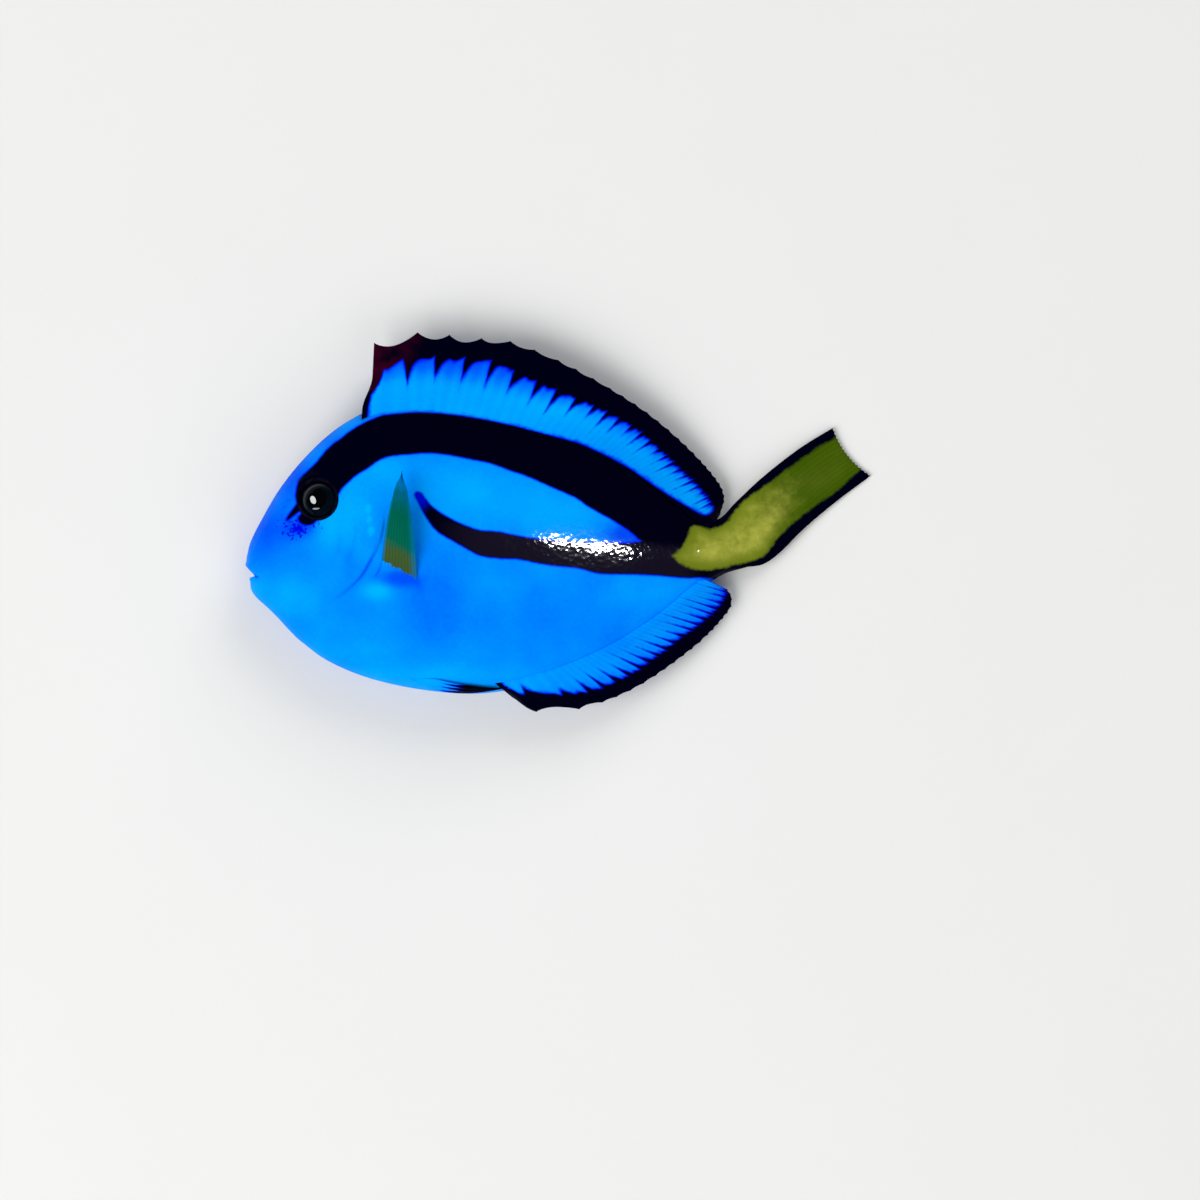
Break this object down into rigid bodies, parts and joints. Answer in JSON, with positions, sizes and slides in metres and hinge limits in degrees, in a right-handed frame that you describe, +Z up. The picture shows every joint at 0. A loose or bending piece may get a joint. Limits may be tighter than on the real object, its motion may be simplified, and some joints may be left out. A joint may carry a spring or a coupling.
{
  "type": "regal blue tang",
  "caption": "Life-size still model of a juvenile regal blue tang lying on its right side, fins spread, tail fin folded and swept towards the back.",
  "frame": {"origin": "middle of the fish's outline, on the surface that it lies on", "axes": "+X towards the tail, +Y towards the back, +Z up, out of the left flank"},
  "size_m": [0.0626, 0.038, 0.011],
  "materials": {
    "skin": "wet, glossy azure skin with a black band and lateral stripe",
    "edged_fin": "azure membrane with a black margin that runs down the rays in wedges",
    "tail_fin": "olive yellow membrane with black upper and lower edges",
    "pectoral_fin": "thin green membrane, olive at the root",
    "eye": "polished, almost black dome"
  },
  "bodies": {
    "root": {"head": "skin", "trunk": "skin", "tail_stalk": "skin", "dorsal_fin": "edged_fin", "anal_fin": "edged_fin", "pelvic_fin_left": "edged_fin", "pelvic_fin_right": "edged_fin", "caudal_fin": "tail_fin", "pectoral_fin_left": "pectoral_fin", "pectoral_fin_right": "pectoral_fin", "eye_left": "eye", "eye_right": "eye"}
  },
  "joints": []
}
